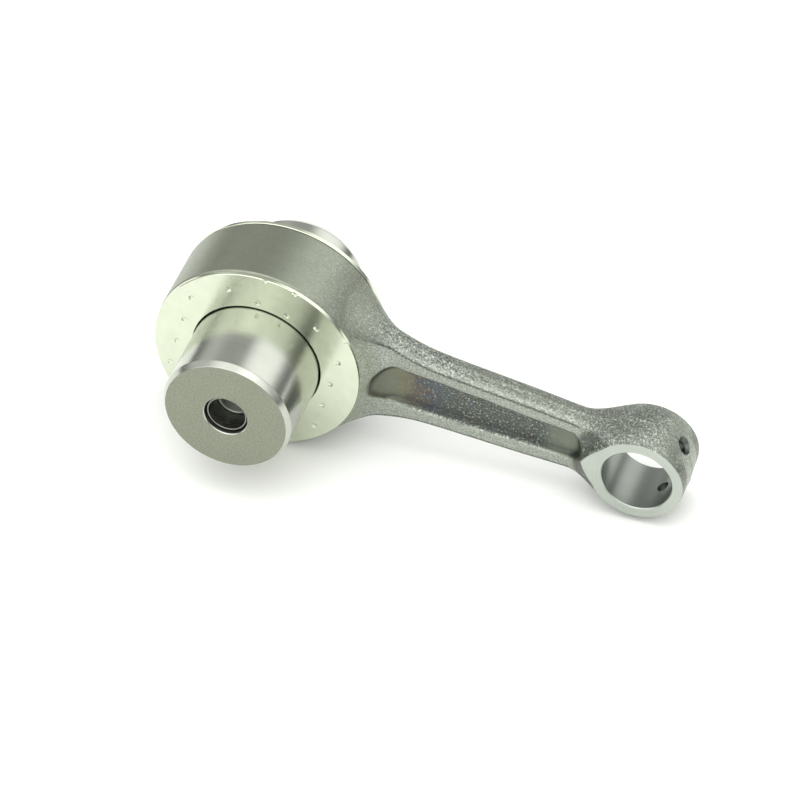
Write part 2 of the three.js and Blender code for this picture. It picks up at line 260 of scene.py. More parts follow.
def forged_steel():
    """Alloy steel forging, shot blasted: dull grey, with a coarse grain of bright specks and dark pits.

    The grit leaves pits of about 0.3 mm, so the reflection breaks into sparkle. The big end's outside
    is finer. The flange faces are coined, so they are lighter and smoother; a band past their corners
    is painted lighter as a highlight. The recess keeps its darker forge skin, darkened further as
    painted shade, and painted shade also darkens the flange corners and the recess's wall.
    """
    material, tree, shader, at = new_material("Forged alloy steel, shot blasted")
    base = scene_colour("forging")
    warm = tuple(channel * share for channel, share in zip(base, (0.99, 1.0, 0.90)))
    masks = {name: add(tree, GIVEN, settings={"attribute_name": name}, out="Fac") for name in MASKS}
    pits = add(tree, NOISE, {"Vector": at, "Scale": per_metre(0.48), "Detail": 4.0, "Roughness": 0.70})
    specks = add(tree, NOISE, {"Vector": at, "Scale": per_metre(0.62), "Detail": 2.0})
    clouds = add(tree, NOISE, {"Vector": at, "Scale": per_metre(5.0), "Detail": 3.0})
    fine = add(tree, NOISE, {"Vector": at, "Scale": per_metre(0.16), "Detail": 2.0})

    pitted = add(tree, RANGE, {"Value": pits, "From Min": 0.40, "From Max": 0.60})
    speckled = add(tree, RANGE, {"Value": specks, "From Min": 0.58, "From Max": 0.66})
    cloudy = add(tree, RANGE, {"Value": clouds, "From Min": 0.35, "From Max": 0.65})
    grainy = add(tree, RANGE, {"Value": fine, "From Min": 0.3, "From Max": 0.7})

    # Coarse blasting has dark pits and bright specks; the fine satin has only faint pits.
    coarse = add(tree, MIX, {FACTOR: pitted, FIRST: shade(base, 0.38), SECOND: shade(base, 1.5)},
                 COLOURS, MIXED)
    coarse = add(tree, MIX, {FACTOR: speckled, FIRST: coarse, SECOND: shade(base, 2.3)}, COLOURS, MIXED)
    satin = add(tree, MIX, {FACTOR: cloudy, FIRST: shade(warm, 0.98), SECOND: shade(warm, 1.16)},
                COLOURS, MIXED)
    faint = add(tree, RANGE, {"Value": pits, "From Min": 0.35, "From Max": 0.65,
                              "To Min": 0.42, "To Max": 0.0})
    satin = add(tree, MIX, {FACTOR: faint, FIRST: satin, SECOND: shade(warm, 0.55)}, COLOURS, MIXED)
    satin = add(tree, MIX, {FACTOR: grainy, FIRST: satin, SECOND: shade(warm, 1.12)}, COLOURS, MIXED)
    colour = add(tree, MIX, {FACTOR: masks["blast"], FIRST: satin, SECOND: coarse}, COLOURS, MIXED)

    # Dressed faces are lighter, and the band past the flange corners is painted lighter as a highlight.
    #     # The forge skin is dark, and even where no grit has reached it; painted shade darkens it further.
    flange = add(tree, MIX, {FACTOR: pitted, FIRST: shade(base, 0.85), SECOND: shade(base, 1.5)},
                 COLOURS, MIXED)
    colour = add(tree, MIX, {FACTOR: masks["dressed"], FIRST: colour, SECOND: flange}, COLOURS, MIXED)
    skin = add(tree, MIX, {FACTOR: pitted, FIRST: shade(base, 0.20), SECOND: shade(base, 0.56)},
               COLOURS, MIXED)
    skin = add(tree, MIX, {FACTOR: speckled, FIRST: skin, SECOND: shade(base, 1.35)}, COLOURS, MIXED)
    smooth_skin = add(tree, MIX, {FACTOR: cloudy, FIRST: shade(warm, 0.58), SECOND: shade(warm, 0.72)},
                      COLOURS, MIXED)
    skin = add(tree, MIX, {FACTOR: masks["blast"], FIRST: smooth_skin, SECOND: skin}, COLOURS, MIXED)
    colour = add(tree, MIX, {FACTOR: masks["hollow"], FIRST: colour, SECOND: skin}, COLOURS, MIXED)

    # Heat tint in the recess: straw, violet and blue in turn, in loose patches that the pits break up.
    patches = add(tree, NOISE, {"Vector": at, "Scale": per_metre(2.2), "Detail": 3.0})
    wander = add(tree, RANGE, {"Value": patches, "From Min": 0.3, "From Max": 0.7,
                               "To Min": -0.26, "To Max": 0.26})
    heat = add(tree, MATHS, {0: masks["temper"], 1: wander}, SUM)
    tint = add(tree, "ShaderNodeValToRGB", {"Fac": heat}, out="Color")
    ramp = tint.node.color_ramp
    for place, _, _ in HEAT_TINTS[1:-1]:
        ramp.elements.new(place)
    for element, (_, hex_colour, strength) in zip(ramp.elements, HEAT_TINTS):
        element.color = (*linear(hex_colour), strength)
    broken = add(tree, RANGE, {"Value": pits, "From Min": 0.40, "From Max": 0.60,
                               "To Min": 1.0, "To Max": 0.45})
    tinted = add(tree, MATHS, {0: tint.node.outputs["Alpha"], 1: broken}, MULTIPLY)
    tinted = add(tree, MATHS, {0: tinted, 1: masks["hollow"]}, MULTIPLY)
    colour = add(tree, MIX, {FACTOR: tinted, FIRST: colour, SECOND: tint}, COLOURS, MIXED)
    # Painted shade along the flange corners and the recess's wall: the colour goes almost to black.
    colour = add(tree, MIX, {FACTOR: masks["crease"], FIRST: colour, SECOND: shade(base, 0.10)},
                 COLOURS, MIXED)
    tree.links.new(colour, shader["Base Color"])

    rough = add(tree, RANGE, {"Value": pits, "From Min": 0.3, "From Max": 0.7,
                              "To Min": 0.46, "To Max": 0.31})
    tree.links.new(rough, shader["Roughness"])
    shader["Metallic"].default_value = 0.95

    grain = add(tree, RANGE, {"Value": masks["blast"], "To Min": 0.12, "To Max": 1.0})
    relief = add(tree, MATHS, {0: pits, 1: grain}, MULTIPLY)
    ripple = add(tree, MATHS, {0: fine, 1: 0.08}, MULTIPLY)
    relief = add(tree, MATHS, {0: relief, 1: ripple}, SUM)
    tree.links.new(add(tree, BUMP, {"Height": relief, "Distance": 0.13 * MM}), shader["Normal"])
    return material


def ground_steel(name, base, centre, line_mm, rough, contrast=0.12, relief_mm=0.004, mottle=0.0):
    """Steel finished on a grinder or a lathe: bright, with faint lines that run round its axis.

    Mottle is the share of light lost in the small dull spots of a surface that was only faced.
    """
    material, tree, shader, at = new_material(name)
    moved = add(tree, "ShaderNodeMapping", {"Vector": at, "Location": tuple(-c for c in centre)})
    parts = add(tree, "ShaderNodeSeparateXYZ", {"Vector": moved}).node.outputs
    across = add(tree, "ShaderNodeCombineXYZ", {"X": parts["X"], "Z": parts["Z"]})
    radius = add(tree, "ShaderNodeVectorMath", {0: across}, {"operation": "LENGTH"}, "Value")
    lay = add(tree, "ShaderNodeCombineXYZ", {"X": radius, "Y": parts["Y"]})
    lines = add(tree, NOISE, {"Vector": lay, "Scale": per_metre(line_mm), "Detail": 3.0})
    clouds = add(tree, NOISE, {"Vector": at, "Scale": per_metre(6.0), "Detail": 3.0})
    lined = add(tree, RANGE, {"Value": lines, "From Min": 0.3, "From Max": 0.7})
    cloudy = add(tree, RANGE, {"Value": clouds, "From Min": 0.35, "From Max": 0.65, "To Max": 0.35})
    colour = add(tree, MIX, {FACTOR: lined, FIRST: shade(base, 1 - contrast),
                             SECOND: shade(base, 1 + contrast / 2)}, COLOURS, MIXED)
    colour = add(tree, MIX, {FACTOR: cloudy, FIRST: colour, SECOND: shade(base, 0.86)}, COLOURS, MIXED)
    if mottle:
        spots = add(tree, NOISE, {"Vector": at, "Scale": per_metre(0.5), "Detail": 3.0, "Roughness": 0.65})
        spotted = add(tree, RANGE, {"Value": spots, "From Min": 0.38, "From Max": 0.62})
        colour = add(tree, MIX, {FACTOR: spotted, FIRST: shade(base, 1 - mottle), SECOND: colour},
                     COLOURS, MIXED)
    tree.links.new(colour, shader["Base Color"])
    gloss = add(tree, RANGE, {"Value": lines, "From Min": 0.3, "From Max": 0.7,
                              "To Min": rough[0], "To Max": rough[1]})
    tree.links.new(gloss, shader["Roughness"])
    shader["Metallic"].default_value = 1.0
    tree.links.new(add(tree, BUMP, {"Height": lines, "Distance": relief_mm * MM}), shader["Normal"])
    return material


def drilled_steel_with_hole_shade(base):
    """Steel as drilled in the oil holes: dull, with torn marks, and darker still as painted shade inside the
    holes.
    """
    material, tree, shader, at = new_material("Drilled steel")
    marks = add(tree, NOISE, {"Vector": at, "Scale": per_metre(0.3), "Detail": 2.0})
    colour = add(tree, MIX, {FACTOR: marks, FIRST: shade(base, 0.2), SECOND: shade(base, 0.4)},
                 COLOURS, MIXED)
    tree.links.new(colour, shader["Base Color"])
    gloss = add(tree, RANGE, {"Value": marks, "From Min": 0.3, "From Max": 0.7,
                              "To Min": 0.35, "To Max": 0.5})
    tree.links.new(gloss, shader["Roughness"])
    shader["Metallic"].default_value = 1.0
    return material


def silver_plating():
    """Silver-coloured plating on a steel washer, polished: a pale warm mirror with a soft haze."""
    material, tree, shader, at = new_material("Silver-coloured plating, polished")
    base = scene_colour("plate")
    haze = add(tree, NOISE, {"Vector": at, "Scale": per_metre(3.5), "Detail": 4.0, "Roughness": 0.6})
    grain = add(tree, NOISE, {"Vector": at, "Scale": per_metre(0.4), "Detail": 2.0})
    hazy = add(tree, RANGE, {"Value": haze, "From Min": 0.35, "From Max": 0.65})
    colour = add(tree, MIX, {FACTOR: hazy, FIRST: shade(base, 0.93), SECOND: shade(base)}, COLOURS, MIXED)
    tree.links.new(colour, shader["Base Color"])
    gloss = add(tree, RANGE, {"Value": haze, "From Min": 0.3, "From Max": 0.7,
                              "To Min": 0.15, "To Max": 0.21})
    tree.links.new(gloss, shader["Roughness"])
    shader["Metallic"].default_value = 1.0
    ripple = add(tree, MATHS, {0: grain, 1: 0.3}, MULTIPLY)
    relief = add(tree, MATHS, {0: haze, 1: ripple}, SUM)
    tree.links.new(add(tree, BUMP, {"Height": relief, "Distance": 0.004 * MM}), shader["Normal"])
    return material


def paper_floor():
    """Smooth white paper: matt, with next to no texture."""
    material, tree, shader, at = new_material("White paper")
    base = scene_colour("floor")
    fibre = add(tree, NOISE, {"Vector": at, "Scale": per_metre(1.5), "Detail": 2.0})
    colour = add(tree, MIX, {FACTOR: fibre, FIRST: shade(base, 0.995), SECOND: shade(base)}, COLOURS, MIXED)
    tree.links.new(colour, shader["Base Color"])
    shader["Roughness"].default_value = 0.9
    return material


# ------------------------------------------------------------ the forging's shape, in rod millimetres

RING_RADIUS = 28.5
RING_HALF = 10.0
RING_BORE = 21.5
RING_EDGE = 0.4
RING_STEPS = 256
BOSS_HALF = 8.25
BOSS_BORE = 9.5
BOSS_EDGE = 0.25
BOSS_STEPS = 192
BOSS_FACE_RADIUS = 12.5
BOSS_CROWN_RADIUS = 14.5
BOSS_CROWNING = 2.2           # how sharply the small end's outside falls away from its crown
FACING_RADIUS = 20            # of the cutter that faces the small end's sides
TIP_FLAT = 12.8               # ground flat on the far end, from the small end's centre
TIP_ARC_RADIUS = 15.3         # the small end's far side, struck from a point nearer the big end
TIP_ARC_SHIFT = 2.6
SHANK_HALF = 3.9
WEB_HALF = 1.9
CROWN = 1.7                   # how much the parting line stands above the flange corners
FLASH_HEIGHT = 0.24           # what is left of the trimmed flash along the parting line
FLASH_WIDTH = 0.55
FLASH_START = 22              # along the shank, where the flash begins to rise
OIL_HOLE_RADIUS = 1.7
OIL_HOLE_MOUTH = 3.3
OIL_HOLE_SINK = 2.4
OIL_HOLE_ANGLE = math.radians(47)

# How the thickness runs from the shank up to the big end and the small end: where, and how steeply.
RING_FILLET_REACH = 7.0
RING_FILLET_POWER = 1.6
BOSS_FILLET_RADIUS = 20.5
BOSS_FILLET_POWER = 1.7
HORN_LENGTH, HORN_HALF = 2.8, 6.5          # the small end's side face runs out into the shank here

# Half height at the parting line, at stations along the rod.
OUTLINE = [(17, 22.7), (20, 20.7), (22, 19.4), (24.5, 18.0), (27, 16.75), (29.5, 15.6), (32, 14.6),
           (35, 13.5), (38, 12.55), (43, 11.5), (50, 10.95), (60, 10.55), (72, 10.1), (82, 9.55),
           (86, 9.4), (89, 9.65), (92, 10.35), (95, 11.4), (98, 12.7)]

# Half height of the recess at its rim, between its round ends, and the width of its sloping wall.
RECESS = [(35.5, 6.3), (50, 6.0), (63, 5.5), (72, 5.0), (83.9, 4.7)]
RECESS_START, START_RADIUS = RECESS[0]
RECESS_END, END_RADIUS = RECESS[-1]
WALL_WIDTH = 1.25

# The ramps at the ends of the recess's floor: length, and height reached past the rim.
START_RAMP = (8.5, 7.5)
END_RAMP = (4.5, 3.2)
RAMP_POWER = 2.3


def rise(x, start, width):
    """From 0 to 1 as x goes from start to start + width, level at both ends."""
    share = min(1.0, max(0.0, (x - start) / width))
    return share * share * (3 - 2 * share)


def fade(x, start, width):
    """From 1 to 0 over the same stretch."""
    return 1 - rise(x, start, width)


def along(points, x):
    """A smooth curve through (x, value) points."""
    if x <= points[0][0]:
        return points[0][1]
    if x >= points[-1][0]:
        return points[-1][1]
    i = max(k for k in range(len(points) - 1) if points[k][0] <= x)
    before, after = points[max(0, i - 1)], points[min(len(points) - 1, i + 2)]
    (x0, a), (x1, b) = points[i], points[i + 1]
    step = x1 - x0
    slope0 = (b - before[1]) / (x1 - before[0]) * step
    slope1 = (after[1] - a) / (after[0] - x0) * step
    t = (x - x0) / step
    return ((2 * t ** 3 - 3 * t ** 2 + 1) * a + (t ** 3 - 2 * t ** 2 + t) * slope0
            + (3 * t ** 2 - 2 * t ** 3) * b + (t ** 3 - t ** 2) * slope1)


def falling(share, power):
    """From 1 to 0 as share goes from 0 to 1, and steeply above 1 before that."""
    return 1 - power * share if share < 0 else max(0.0, 1 - share) ** power


def forging_half(x, z):
    """Half thickness of the forging over a point of its middle plane, without its recess."""
    from_ring = math.hypot(x, z)
    from_boss = math.hypot(CENTRES - x, z)
    ring = falling((from_ring - RING_RADIUS) / RING_FILLET_REACH, RING_FILLET_POWER)
    horn = BOSS_FACE_RADIUS + HORN_LENGTH * max(0.0, 1 - abs(z) / HORN_HALF)
    boss = falling((from_boss - horn) / (BOSS_FILLET_RADIUS - horn), BOSS_FILLET_POWER)
    return SHANK_HALF + max((RING_HALF - SHANK_HALF) * min(ring, 1.1),
                            (BOSS_HALF - SHANK_HALF) * min(boss, 1.2))


def inside_recess(x, z):
    """Distance inside the recess's rim, negative outside it."""
    if x < RECESS_START:
        return START_RADIUS - math.hypot(x - RECESS_START, z)
    if x > RECESS_END:
        return END_RADIUS - math.hypot(x - RECESS_END, z)
    return along(RECESS, x) - abs(z)


def recess_floor(x):
    """Distance of the recess's floor from the middle plane: a long ramp at each end."""
    start = max(0.0, 1 - (x - (RECESS_START - START_RADIUS)) / START_RAMP[0])
    end = max(0.0, 1 - ((RECESS_END + END_RADIUS) - x) / END_RAMP[0])
    return WEB_HALF + START_RAMP[1] * start ** RAMP_POWER + END_RAMP[1] * end ** RAMP_POWER


def front_half(x, z, half_height):
    """Half thickness of the finished shank over a point of its middle plane."""
    top = forging_half(x, z)
    over_corner = (abs(z) - (half_height - CROWN)) / CROWN
    if over_corner > 0:
        top *= math.sqrt(max(0.0, 1 - min(1.0, over_corner) ** 2))
    inside = inside_recess(x, z)
    wall = max(0.0, (WALL_WIDTH - inside) / WALL_WIDTH) ** 2
    return min(top, recess_floor(x) + (SHANK_HALF - WEB_HALF) * wall)


def shank_blank():
    """The shank with its recesses: one dense grid shaped to the front side, mirrored and closed."""
    bm = bmesh.new()
    first, last = OUTLINE[0][0], OUTLINE[-1][0]
    bmesh.ops.create_grid(bm, x_segments=200, y_segments=90, size=1.0)
    for vert in bm.verts:
        x = first + (last - first) * (vert.co.x + 1) / 2
        half_height = along(OUTLINE, x) - FLASH_HEIGHT * rise(x, FLASH_START, 10)
        # The rows of the grid stand closer together at the flanges, where the shape turns.
        across = math.sin(vert.co.y * math.pi / 2) * 0.35 + vert.co.y * 0.65
        z = across * half_height
        vert.co = (x, -front_half(x, z, half_height), z)
    for vert in bm.verts:
        if vert.is_boundary and first + 1e-4 < vert.co.x < last - 1e-4:
            vert.co.y = 0.0
    bmesh.ops.mirror(bm, geom=bm.verts[:] + bm.edges[:] + bm.faces[:], axis="Y", merge_dist=1e-4)
    bmesh.ops.remove_doubles(bm, verts=bm.verts, dist=1e-4)
    bmesh.ops.holes_fill(bm, edges=[e for e in bm.edges if e.is_boundary], sides=0)
    bmesh.ops.recalc_face_normals(bm, faces=bm.faces)
    return bm


def crown_radius(y):
    """Radius of the small end's outside, largest half way between its side faces."""
    crown = BOSS_CROWN_RADIUS - FLASH_HEIGHT
    return crown - (crown - BOSS_FACE_RADIUS) * (abs(y) / BOSS_HALF) ** BOSS_CROWNING


def narrow_tip(bm):
    """Draws the far side of the small end in to a flatter arc."""
    for vert in bm.verts:
        x, z = vert.co.x - CENTRES, vert.co.z
        radius, angle = math.hypot(x, z), math.atan2(z, x)
        limit = math.sqrt(TIP_ARC_RADIUS ** 2 - (TIP_ARC_SHIFT * math.sin(angle)) ** 2)
        limit -= TIP_ARC_SHIFT * math.cos(angle)
        if radius > BOSS_FACE_RADIUS and abs(angle) < math.pi / 2 and limit < BOSS_CROWN_RADIUS:
            crown = (radius - BOSS_FACE_RADIUS) / (BOSS_CROWN_RADIUS - BOSS_FACE_RADIUS)
            radius += crown * (limit - BOSS_CROWN_RADIUS)
            vert.co.x, vert.co.z = CENTRES + radius * math.cos(angle), radius * math.sin(angle)


def into(bm, *others):
    """Adds the faces of other bmeshes to bm."""
    for other in others:
        mesh = bpy.data.meshes.new("joined")
        other.to_mesh(mesh)
        other.free()
        bm.from_mesh(mesh)
        bpy.data.meshes.remove(mesh)
    return bm


def settled(obj):
    """Applies an object's modifiers."""
    bpy.context.view_layer.update()
    evaluated = obj.evaluated_get(bpy.context.evaluated_depsgraph_get())
    mesh = bpy.data.meshes.new_from_object(evaluated)
    old = obj.data
    obj.modifiers.clear()
    obj.data = mesh
    bpy.data.meshes.remove(old)
    if not mesh.polygons:
        raise RuntimeError(f"{obj.name} has lost all its faces")


def cut(obj, *cutters):
    """Takes solids, given as bmeshes, out of an object, one after another."""
    for tool in cutters:
        cutter = loose_object("cutter", tool)
        modifier = obj.modifiers.new("Cut", "BOOLEAN")
        modifier.operation = "DIFFERENCE"
        modifier.solver = "MANIFOLD"
        modifier.object = cutter
        settled(obj)
        bpy.data.objects.remove(cutter)


def bore_tool(radius, half, edge, steps, centre=(0, 0, 0)):
    """A boring tool that also breaks the bore's edges at both faces."""
    over = 2.0
    profile = [(0, -half - over), (radius + edge + over, -half - over), (radius, -half + edge),
               (radius, half - edge), (radius + edge + over, half + over), (0, half + over)]
    return turned(profile, steps, centre)


def face_tool(radius, face, side, centre):
    """A disc that leaves a flat face at this distance from the middle plane."""
    back = face + 6
    return turned([(0, side * face), (radius, side * face), (radius, side * back), (0, side * back)],
                  96, centre)


def edge_tool(side):
    """The tool that turns the chamfer on the big end's outer edge and runs out over the shank."""
    limit = RING_RADIUS + RING_HALF - RING_EDGE
    inner, outer, back = RING_RADIUS - 1.0, RING_RADIUS + 3.5, RING_HALF + 4
    return turned([(inner, side * (limit - inner)), (outer, side * (limit - outer)),
                   (outer, side * back), (inner, side * back)], RING_STEPS)


def oil_drill(angle):
    """A countersunk drill that points at the small end's centre."""
    inner, outer = BOSS_BORE - 2.5, BOSS_CROWN_RADIUS + 2
    profile = [(0, inner), (OIL_HOLE_RADIUS, inner), (OIL_HOLE_RADIUS, BOSS_CROWN_RADIUS - OIL_HOLE_SINK),
               (OIL_HOLE_MOUTH, BOSS_CROWN_RADIUS), (OIL_HOLE_MOUTH, outer), (0, outer)]
    bm = turned(profile, 40)
    turn = Matrix.Rotation(-angle, 4, "Y") @ Matrix.Rotation(-math.pi / 2, 4, "Z")
    bmesh.ops.transform(bm, matrix=Matrix.Translation((CENTRES, 0, 0)) @ turn, verts=bm.verts)
    return bm


def plane_cut(bm, point, normal):
    """Cuts away what lies beyond a plane, and closes the cut with a flat face."""
    geometry = bm.verts[:] + bm.edges[:] + bm.faces[:]
    result = bmesh.ops.bisect_plane(
        bm, geom=geometry, plane_co=point, plane_no=normal, clear_outer=True, dist=1e-5)
    rim = [item for item in result["geom_cut"] if isinstance(item, bmesh.types.BMEdge)]
    bmesh.ops.edgenet_fill(bm, edges=rim)


def forging_body():
    """The raw forging: big end, shank and small end run together with a forging's soft corners."""
    spare = 1.5
    ring = turned([(0, -RING_HALF - spare), (RING_RADIUS, -RING_HALF - spare),
                   (RING_RADIUS, RING_HALF + spare), (0, RING_HALF + spare)], RING_STEPS)
    levels = [k / 10 * (BOSS_HALF + 0.8) for k in range(-10, 11)]
    boss = turned([(0, levels[0])] + [(crown_radius(y), y) for y in levels] + [(0, levels[-1])],
                  BOSS_STEPS, (CENTRES, 0, 0))
    narrow_tip(boss)
    obj = loose_object("connecting_rod_forging", into(shank_blank(), ring, boss))
    remesh = obj.modifiers.new("Forging", "REMESH")
    remesh.mode = "VOXEL"
    remesh.voxel_size = bpy.context.scene.rod_kit_sizes.voxel / MM
    soften = obj.modifiers.new("Soft corners", "SMOOTH")
    soften.factor = 0.5
    soften.iterations = 4
    settled(obj)
    bm = bmesh.new()
    bm.from_mesh(obj.data)
    bm.normal_update()
    for vert in bm.verts:
        x, y, z = vert.co
        share = rise(math.hypot(x, z), RING_RADIUS + 0.5, 6) * math.exp(-(y / FLASH_WIDTH) ** 2)
        if share > 0.01 and abs(vert.normal.y) < 0.7 and inside_recess(x, z) < -0.5:
            vert.co += vert.normal * (FLASH_HEIGHT * share)
    bm.to_mesh(obj.data)
    bm.free()
    return obj


FORGED, FACED, BORED, DRILLED, TIP_GROUND = range(5)          # the rod's finishes
NEAR = 0.02                   # a face this near to a surface lies on it
NEAR_EDGE = 0.05              # and this near to a broken edge


def in_oil_hole(x, y, z, angle):
    """Whether a point lies on the wall or in the countersink of the oil hole at this angle."""
    reach = (x - CENTRES) * math.cos(angle) + z * math.sin(angle)
    off = math.hypot((x - CENTRES) * math.sin(angle) - z * math.cos(angle), y)
    if reach > 0 and off < OIL_HOLE_RADIUS + 0.1:
        return True
    into_sink = (reach - (BOSS_CROWN_RADIUS - OIL_HOLE_SINK)) / OIL_HOLE_SINK
    cone = OIL_HOLE_RADIUS + (OIL_HOLE_MOUTH - OIL_HOLE_RADIUS) * into_sink
    return reach > BOSS_BORE + 1 and off < OIL_HOLE_MOUTH + NEAR_EDGE and abs(off - cone) < 0.12


def surface_kind(centre):
    """Which of its finishes a face of the rod has, from where its middle lies."""
    x, y, z = centre
    from_ring = math.hypot(x, z)
    from_boss = math.hypot(x - CENTRES, z)
    if from_ring < RING_BORE + RING_EDGE + NEAR_EDGE:
        return BORED
    if abs(y) > RING_HALF - NEAR:
        return FACED
    if from_boss < BOSS_BORE + NEAR:
        return BORED
    if abs(abs(y) - BOSS_HALF) < NEAR and from_boss < FACING_RADIUS:
        return FACED
    if from_boss < BOSS_BORE + BOSS_EDGE + NEAR_EDGE:
        return FACED
    if x > CENTRES + TIP_FLAT - 0.03:
        return TIP_GROUND
    if any(in_oil_hole(x, y, z, angle) for angle in (OIL_HOLE_ANGLE, -OIL_HOLE_ANGLE)):
        return DRILLED
    return FORGED


def ground_tip(x, z):
    """How far the far side of the small end is ground smooth: most below its middle."""
    from_tip = math.degrees(math.atan2(z, x - CENTRES))
    return rise(from_tip, -75, 15) * (1 - 0.6 * rise(from_tip, 8, 12)) * fade(from_tip, 60, 25)


def blasting(x, z, inside):
    """How coarse the grit has left a point: finest on the big end and at the recess's ends."""
    if inside > 0:
        return rise(x, RECESS_START + 0.5, 7) * fade(x, RECESS_END - 7.9, 6)
    blast = max(rise(math.hypot(x, z), RING_RADIUS - 0.5, 7), 0.30 * rise(x, 2, 18))
    blast *= 1 - 0.30 * rise(x, 48, 14) * fade(x, 86, 5)
    return 0.9 * blast if x > CENTRES - 18 else blast


def finish_masks(x, y, z):
    """How coarse, dressed, hollow and heat tinted the forging is at a point, and where it carries
    a painted highlight and painted shade.
    """
    inside = inside_recess(x, z)
    depth = abs(y)
    tip = ground_tip(x, z)
    on_shank = rise(math.hypot(x, z), RING_RADIUS + 1.5, 4) * fade(x, CENTRES - 19.5, 3)
    past_corner = abs(z) - (along(OUTLINE, x) - CROWN - FLASH_HEIGHT)

    # The flange faces are coined flat. A band just past their corners is painted lighter, as a highlight.
    flat = rise(depth, SHANK_HALF - 0.5, 0.2)
    coined = on_shank * flat * fade(past_corner, -0.3, 0.3) * fade(inside, -0.15, 0.3)
    rolled = on_shank * rise(past_corner, 0.35, 0.3) * fade(past_corner, 1.0, 0.5)
    dressed = max(coined, 0.6 * rolled, tip)

    # Forge skin stays in the recess, and on the slope up to the small end's side faces, darker
    #     # still as painted shade of these hollows.
    hollow = rise(inside, 0.15, 0.5) * fade(depth, 7.5, 2)
    if x > CENTRES - 21 and inside < 0.15 and depth < BOSS_HALF - 0.3:
        hollow = max(hollow, rise(depth, SHANK_HALF + 0.2, 0.8) * fade(abs(z), 7.5, 2.5))

    # Painted shade: a dark line along the flange corners, and a dark band along the recess's wall.
    crease = on_shank * flat * max(0.0, 1 - abs(past_corner - 0.15) / 0.36)
    if depth < 7.5:
        crease = max(crease, 0.68 * rise(inside, 0.15, 0.35) * fade(inside, 0.9, 1.3))

    temper = min(1.0, max(0.0, (x - (RECESS_START - 1.5) + 0.25 * z) / 19))
    return blasting(x, z, inside) * (1 - tip), dressed, hollow, 0.85 * crease, temper


# ------------------------------------------------------------ one operator for each piece


def add_rod():
    """The connecting rod: a forging, then faced, bored, drilled and ground."""
    rod = forging_body()
    bm = bmesh.new()
    bm.from_mesh(rod.data)
    plane_cut(bm, (0, RING_HALF, 0), (0, 1, 0))
    plane_cut(bm, (0, -RING_HALF, 0), (0, -1, 0))
    plane_cut(bm, (CENTRES + TIP_FLAT, 0, 0), (1, 0, 0))
    bmesh.ops.triangulate(bm, faces=[f for f in bm.faces if len(f.verts) > 4])
    bm.to_mesh(rod.data)
    bm.free()
    small_end = (CENTRES, 0, 0)
    cut(rod, edge_tool(1), edge_tool(-1),
        face_tool(FACING_RADIUS, BOSS_HALF, 1, small_end),
        face_tool(FACING_RADIUS, BOSS_HALF, -1, small_end),
        bore_tool(RING_BORE, RING_HALF, RING_EDGE, RING_STEPS),
        bore_tool(BOSS_BORE, BOSS_HALF, BOSS_EDGE, BOSS_STEPS, small_end),
        oil_drill(OIL_HOLE_ANGLE), oil_drill(-OIL_HOLE_ANGLE))
    bm = taken_back(rod)
    for face in bm.faces:
        face.material_index = surface_kind(face.calc_center_median())
    layers = [bm.verts.layers.float.new(name) for name in MASKS]
    for vert in bm.verts:
        for layer, value in zip(layers, finish_masks(*vert.co)):
            vert[layer] = value
    ground = scene_colour("ground")
    finishes = {
        FORGED: forged_steel(),
        # Side faces: a soft sheen with fine rings.
        FACED: ground_steel("Alloy steel, surface ground", ground, SMALL_END, line_mm=0.5,
                            rough=(0.26, 0.34), contrast=0.08, relief_mm=0.002),
        # Bores: even, greyer and duller than the faces.
        BORED: ground_steel("Alloy steel, honed", shade(ground, 0.64), SMALL_END, line_mm=0.6,
                            rough=(0.32, 0.40), contrast=0.04, relief_mm=0.0006),
        DRILLED: drilled_steel_with_hole_shade(ground),
        # The far end's flat: as the side faces, a little brighter.
        TIP_GROUND: ground_steel("Alloy steel, tip ground", ground, SMALL_END, line_mm=0.5,
                                 rough=(0.24, 0.32), contrast=0.08, relief_mm=0.002),
    }
    piece = finished_object("connecting_rod_finished", bm, finishes.values())
    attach(piece, "rod")
    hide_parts("connecting_rod")


PIN_RADIUS = 17.5
PIN_CHAMFER_DEPTH = 0.95
PIN_CHAMFER_LENGTH = 1.75
PIN_HOLE_RADIUS = 5.85
PIN_HOLE_CHAMFER = 0.3
POLISHED, END_FACED, HOLE_DRILLED = range(3)          # the crankpin's finishes


